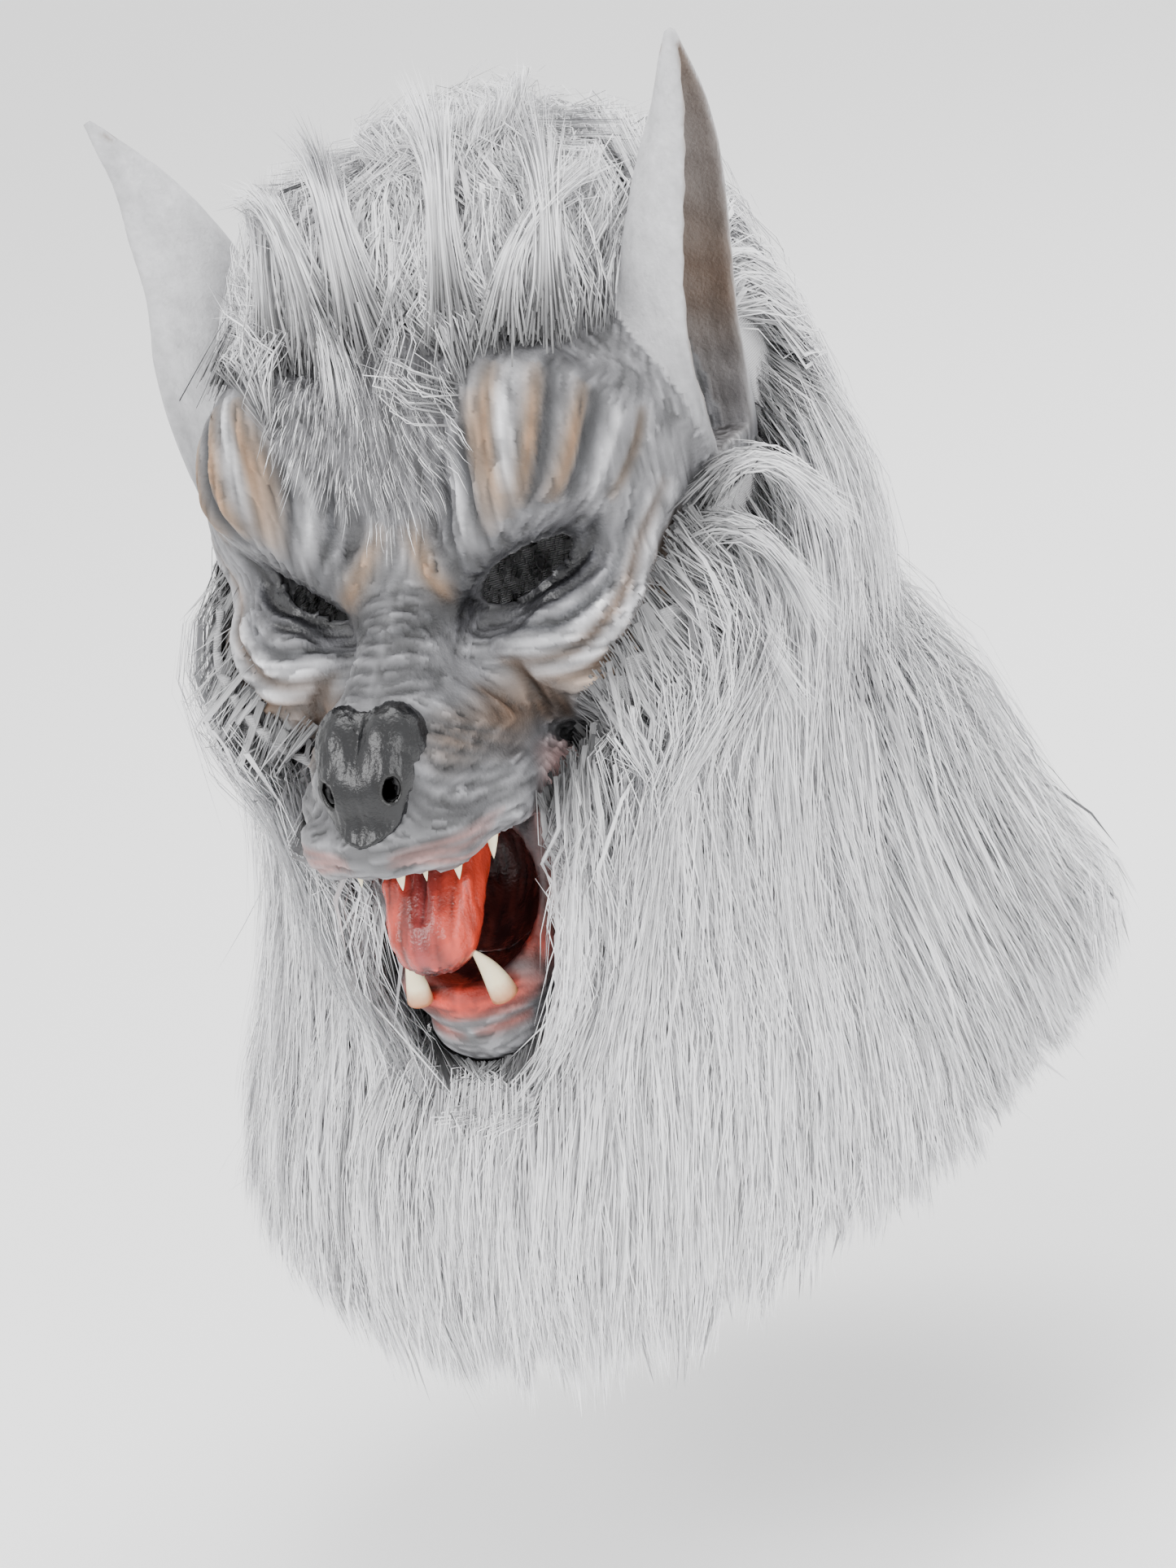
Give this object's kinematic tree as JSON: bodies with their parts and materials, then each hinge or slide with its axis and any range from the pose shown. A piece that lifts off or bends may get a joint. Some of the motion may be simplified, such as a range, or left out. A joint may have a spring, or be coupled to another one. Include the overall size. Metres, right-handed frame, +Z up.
{
  "type": "werewolf mask with fur hood",
  "caption": "Full-head werewolf mask: hollow latex face with open fanged mouth and tall ears, set in a long-pile fur hood that hangs to the shoulders.",
  "frame": {"origin": "underside of the hood's crown, where the mask rests on the top of the head", "axes": "+Z up along the wearer's head, -Y the way the face looks, +X to the wearer's left"},
  "size_m": [0.2956, 0.3197, 0.4277],
  "materials": {
    "latex": "satin painted latex, pale grey with brown and charcoal streaks",
    "mouth": "dark red and charcoal painted latex, semi-gloss",
    "nose": "charcoal painted latex, glossy",
    "tongue": "red painted latex, semi-gloss",
    "tooth": "ivory, semi-gloss",
    "cloth": "knitted backing of the artificial fur",
    "fur": "long-pile artificial fur, white with grey roots"
  },
  "bodies": {
    "root": {"face": "latex", "mouth_lining": "mouth", "nose": "nose", "tongue": "tongue", "fang_lower_left": "tooth", "fang_lower_right": "tooth", "tooth_upper_1": "tooth", "tooth_upper_2": "tooth", "tooth_upper_3": "tooth", "tooth_upper_4": "tooth", "tooth_upper_5": "tooth", "ear_left": "latex", "ear_right": "latex", "hood": "cloth", "fur_crown": "fur", "fur_side_left": "fur", "fur_side_right": "fur", "fur_back": "fur", "fur_beard": "fur"}
  },
  "joints": []
}
